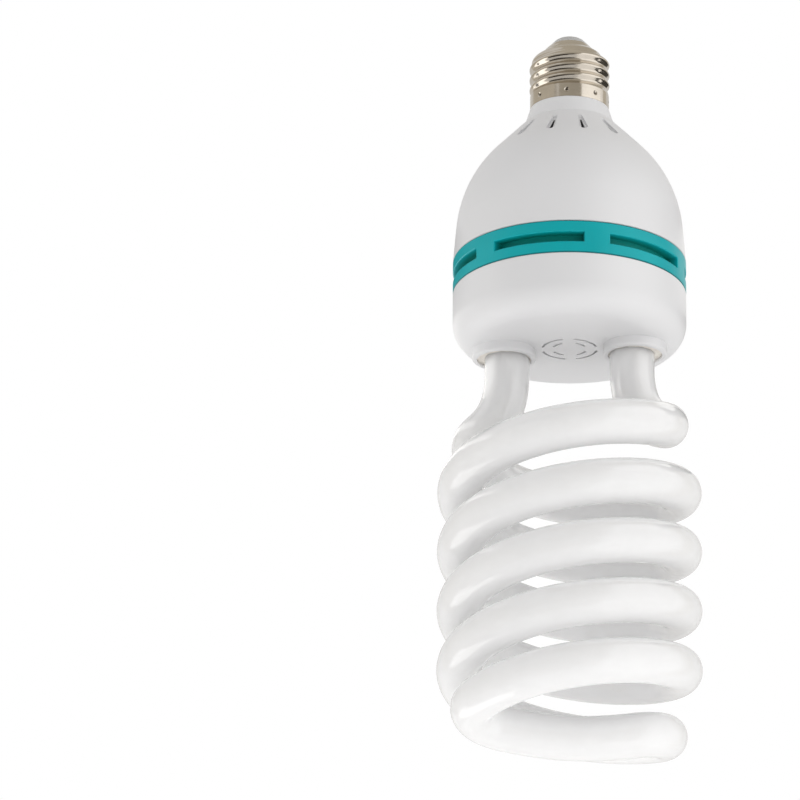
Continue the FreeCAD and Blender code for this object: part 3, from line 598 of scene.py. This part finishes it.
def cement_ring(sizes, turn):
    """Closed ring of cement between a collar and a leg, creeping down the glass, turned about the lamp's axis."""
    bm = bmesh.new()
    mouth_x = (CEMENT_LOW.x + CEMENT_HIGH.x) / 2
    low, high = CEMENT_LOW.z, CEMENT_HIGH.z
    inner_top = circle(bm, sizes.leg_radius, sizes.leg_place, high)
    outer_top = circle(bm, sizes.mouth_radius, mouth_x, high)
    bmesh.ops.bridge_loops(bm, edges=inner_top + outer_top)
    inner_low = circle(bm, sizes.leg_radius, sizes.leg_place, low)
    outer_low = circle(bm, sizes.mouth_radius, mouth_x, low)
    lower = bmesh.ops.bridge_loops(bm, edges=inner_low + outer_low)["edges"]
    bmesh.ops.bridge_loops(bm, edges=inner_top + inner_low)
    bmesh.ops.bridge_loops(bm, edges=outer_top + outer_low)
    bmesh.ops.subdivide_edges(bm, edges=lower, cuts=CEMENT_CUTS, use_grid_fill=True)
    for vert in bm.verts:
        if abs(vert.co.z - low) < LEVEL:
            away = (vert.co - Vector((sizes.leg_place, 0.0, low))).length - sizes.leg_radius
            edge = (vert.co - Vector((mouth_x, 0.0, low))).length - sizes.mouth_radius
            creep = math.exp(-max(0.0, away) / GLASS_CREEP) + COLLAR_SHARE * math.exp(-abs(edge) / COLLAR_CREEP)
            lump = noise.noise(vert.co * LUMP_GRAIN) if edge < -LEVEL else 0.0
            vert.co.z -= sizes.cement_swell * (CREEP_SHARE * creep + LUMP_SHARE * lump)
    if turn:
        bmesh.ops.rotate(bm, verts=bm.verts, cent=(0, 0, 0), matrix=Matrix.Rotation(turn, 3, "Z"))
    return bm


# Studio

def around(azimuth, elevation, distance, centre=MIDDLE):
    """Place round a point of the bulb, its azimuth counted from the front to the right."""
    turn, rise = math.radians(azimuth) + bpy.context.scene.lamp_stage.front, math.radians(elevation)
    away = Vector((math.sin(turn) * math.cos(rise), -math.cos(turn) * math.cos(rise), math.sin(rise)))
    return centre + away * distance


def area_lamp(name, place, width, height, power):
    """Soft lamp that faces the bulb, seen neither by the camera nor by the gloss."""
    data = bpy.data.lights.new(name, "AREA")
    data.shape = "RECTANGLE"
    data.size = width
    data.size_y = height
    data.energy = power
    lamp = bpy.data.objects.new(name, data)
    lamp.location = place
    lamp.rotation_euler = (MIDDLE - place).to_track_quat("-Z", "Y").to_euler()
    lamp.visible_camera = False
    lamp.visible_glossy = False
    bpy.context.scene.collection.objects.link(lamp)


def stage_sheet(name, width, depth, place, turn, material):
    """Flat sheet of the studio."""
    bm = bmesh.new()
    bmesh.ops.create_grid(bm, x_segments=1, y_segments=1, size=0.5)
    bmesh.ops.scale(bm, verts=bm.verts, vec=(width, depth, 1.0))
    bmesh.ops.rotate(bm, verts=bm.verts, cent=(0, 0, 0), matrix=turn)
    bmesh.ops.translate(bm, verts=bm.verts, vec=place)
    mesh = bpy.data.meshes.new(name)
    bm.to_mesh(mesh)
    bm.free()
    mesh.materials.append(material)
    sheet = bpy.data.objects.new(name, mesh)
    bpy.context.scene.collection.objects.link(sheet)
    return sheet


def cloth(name, colour, level):
    """Cloth or card with an even brightness."""
    return finish(name, (0.0, 0.0, 0.0), 1.0, {
        "Emission Color": (*colour, 1.0), "Emission Strength": level, "Specular IOR Level": 0.0})


def screen(name, centre, place, width, depth, colour, level):
    """Sheet of an even brightness that faces a point of the bulb, and that only the gloss sees."""
    turn = (centre - place).to_track_quat("Z", "Y").to_matrix()
    sheet = stage_sheet(name, width, depth, place, turn, cloth(f"{name}_cloth", colour, level))
    for ray in ("camera", "diffuse", "transmission", "volume_scatter", "shadow"):
        setattr(sheet, f"visible_{ray}", False)


def seen_rays(tree):
    """One for a ray that shows the background straight, mirrored or through glass."""
    path = tree.nodes.new("ShaderNodeLightPath")
    total = path.outputs["Is Camera Ray"]
    for ray in ("Is Glossy Ray", "Is Transmission Ray"):
        larger = tree.nodes.new("ShaderNodeMath")
        larger.operation = "MAXIMUM"
        tree.links.new(total, larger.inputs[0])
        tree.links.new(path.outputs[ray], larger.inputs[1])
        total = larger.outputs["Value"]
    return total


def white_world(strength):
    """Even daylight that shows as white."""
    world = bpy.data.worlds.new("studio")
    world.use_nodes = True
    tree = world.node_tree
    lit = tree.nodes["Background"]
    lit.inputs["Color"].default_value = (*DAYLIGHT, 1.0)
    lit.inputs["Strength"].default_value = strength
    seen = tree.nodes.new("ShaderNodeBackground")
    seen.inputs["Color"].default_value = (1.0, 1.0, 1.0, 1.0)
    mix = tree.nodes.new("ShaderNodeMixShader")
    tree.links.new(seen_rays(tree), mix.inputs[0])
    tree.links.new(lit.outputs[0], mix.inputs[1])
    tree.links.new(seen.outputs[0], mix.inputs[2])
    tree.links.new(mix.outputs[0], tree.nodes["World Output"].inputs["Surface"])
    return world


def floor_paper():
    """White paper that still takes a shadow."""
    material = finish("floor_paper", (0.9, 0.9, 0.9), 0.9)
    tree = material.node_tree
    glow = tree.nodes.new("ShaderNodeEmission")
    share = tree.nodes.new("ShaderNodeMath")
    share.operation = "MULTIPLY"
    share.inputs[1].default_value = PAPER_GLOW
    mix = tree.nodes.new("ShaderNodeMixShader")
    tree.links.new(seen_rays(tree), share.inputs[0])
    tree.links.new(share.outputs["Value"], mix.inputs[0])
    tree.links.new(shader_of(material).outputs[0], mix.inputs[1])
    tree.links.new(glow.outputs[0], mix.inputs[2])
    tree.links.new(mix.outputs[0], tree.nodes["Material Output"].inputs["Surface"])
    return material


def front_camera(stage):
    """Camera that looks up at the bulb from the front."""
    data = bpy.data.cameras.new("camera")
    data.sensor_width = SENSOR_WIDTH
    data.lens = stage.lens
    data.shift_x = stage.camera_shift
    data.clip_end = CLIP_END
    camera = bpy.data.objects.new("camera", data)
    camera.location = Matrix.Rotation(stage.front, 3, "Z") @ Vector(
        (0.0, -stage.camera_distance, stage.camera_level))
    camera.rotation_euler = (math.pi / 2 + stage.camera_tilt, 0.0, stage.front)
    bpy.context.scene.collection.objects.link(camera)
    return camera


# Operators

class SPIRAL_LAMP_OT_housing(bpy.types.Operator):
    """Give the bell, the lower housing and the vent ring their plastics"""
    bl_idname = "spiral_lamp.housing"
    bl_label = "Housing"

    def execute(self, context):
        finishes = context.scene.lamp_finishes
        sizes = context.scene.lamp_sizes
        dress(bell_finish(finishes.housing, sizes), "upper_housing")
        dress(housing_finish("housing_white", finishes.housing, sizes.ring_height), "lower_housing")
        dress(ring_finish(finishes.ring, sizes.ring_height), "vent_ring")
        return {"FINISHED"}


class SPIRAL_LAMP_OT_tube(bpy.types.Operator):
    """Give the spiral tube its glass and white powder"""
    bl_idname = "spiral_lamp.tube"
    bl_label = "Spiral tube"

    def execute(self, context):
        dress(tube_finish(context.scene.lamp_finishes.tube), "spiral_tube")
        return {"FINISHED"}


class SPIRAL_LAMP_OT_cap(bpy.types.Operator):
    """Finish the screw cap and model its soldered contact"""
    bl_idname = "spiral_lamp.cap"
    bl_label = "Screw cap"

    def execute(self, context):
        finishes = context.scene.lamp_finishes
        sizes = context.scene.lamp_sizes
        dress(nickel_finish(finishes.nickel, sizes), "screw_shell")
        dress(insulator_finish(finishes.insulator), "cap_insulator")
        tin = solder_finish(finishes.solder)
        piece_from(contact_disc(sizes), "end_contact", tin, "contact_metal", "centre_contact")
        piece_from(solder_drop(sizes), "contact_solder", tin, "contact_metal")
        return {"FINISHED"}


class SPIRAL_LAMP_OT_cement(bpy.types.Operator):
    """Model the cement that holds each leg of the tube in its collar"""
    bl_idname = "spiral_lamp.cement"
    bl_label = "Leg cement"

    def execute(self, context):
        material = cement_finish(context.scene.lamp_finishes.cement)
        sizes = context.scene.lamp_sizes
        piece_from(cement_ring(sizes, 0.0), "cement_right", material, "cement", "leg_cement_right")
        piece_from(cement_ring(sizes, math.pi), "cement_left", material, "cement", "leg_cement_left")
        return {"FINISHED"}


class SPIRAL_LAMP_OT_ballast(bpy.types.Operator):
    """Give every piece of the ballast inside the housing its finish"""
    bl_idname = "spiral_lamp.ballast"
    bl_label = "Ballast"

    def execute(self, context):
        for nodes, *look in BALLAST:
            dress(inner_finish(*look), *nodes)
        return {"FINISHED"}


class SPIRAL_LAMP_OT_stage(bpy.types.Operator):
    """Set up the floor, the light and the camera"""
    bl_idname = "spiral_lamp.stage"
    bl_label = "Stage"

    def execute(self, context):
        scene = context.scene
        stage = scene.lamp_stage
        scene.view_settings.view_transform = "Standard"
        scene.world = white_world(stage.daylight)
        floor_place = (0.0, 0.0, stage.floor_level)
        stage_sheet("floor", FLOOR_SIDE, FLOOR_SIDE, floor_place, Matrix.Identity(3), floor_paper())
        for side, (azimuth, elevation, distance, width, height) in LAMPS.items():
            power = getattr(stage, f"{side}_power")
            area_lamp(f"{side}_lamp", around(azimuth, elevation, distance), width, height, power)
        band = Vector((0.0, 0.0, RING_LOW.z + scene.lamp_sizes.ring_height / 2))
        faced = {
            "bulb": MIDDLE,
            "cap": CAP_MIDDLE,
            "left_end": around(-RING_END, 0, RING_HIGH.x, band),
            "right_end": around(RING_END, 0, RING_HIGH.x, band),
        }
        for name, (aim, azimuth, elevation, distance, width, depth, colour, level) in SCREENS.items():
            place = around(azimuth, elevation, distance, faced[aim])
            screen(name, faced[aim], place, width, depth, colour, getattr(stage, level))
        scene.camera = front_camera(stage)
        return {"FINISHED"}


class SPIRAL_LAMP_PT_panel(bpy.types.Panel):
    """Sidebar of the lamp"""
    bl_label = "Spiral Lamp"
    bl_idname = "SPIRAL_LAMP_PT_panel"
    bl_space_type = "VIEW_3D"
    bl_region_type = "UI"
    bl_category = "Spiral Lamp"

    def draw(self, context):
        for group in GROUPS:
            settings = getattr(context.scene, group)
            for name in settings.__annotations__:
                self.layout.prop(settings, name)
        for step in STEPS:
            self.layout.operator(step.bl_idname)


# Add-on

GROUPS = {"lamp_finishes": LampFinishes, "lamp_sizes": LampSizes, "lamp_stage": LampStage}
STEPS = (
    SPIRAL_LAMP_OT_housing,
    SPIRAL_LAMP_OT_tube,
    SPIRAL_LAMP_OT_cap,
    SPIRAL_LAMP_OT_cement,
    SPIRAL_LAMP_OT_ballast,
    SPIRAL_LAMP_OT_stage,
)


def register():
    """Registers the settings, the operators and the panel."""
    for name, group in GROUPS.items():
        bpy.utils.register_class(group)
        setattr(bpy.types.Scene, name, bpy.props.PointerProperty(type=group))
    for step in STEPS:
        bpy.utils.register_class(step)
    bpy.utils.register_class(SPIRAL_LAMP_PT_panel)


def unregister():
    """Takes away what register added, in the opposite order."""
    bpy.utils.unregister_class(SPIRAL_LAMP_PT_panel)
    for step in reversed(STEPS):
        bpy.utils.unregister_class(step)
    for name, group in reversed(GROUPS.items()):
        delattr(bpy.types.Scene, name)
        bpy.utils.unregister_class(group)


def main():
    """Builds the lamp's looks and the stage."""
    register()
    bpy.ops.spiral_lamp.housing()
    bpy.ops.spiral_lamp.tube()
    bpy.ops.spiral_lamp.cap()
    bpy.ops.spiral_lamp.cement()
    bpy.ops.spiral_lamp.ballast()
    bpy.ops.spiral_lamp.stage()


if __name__ == "__main__":
    main()
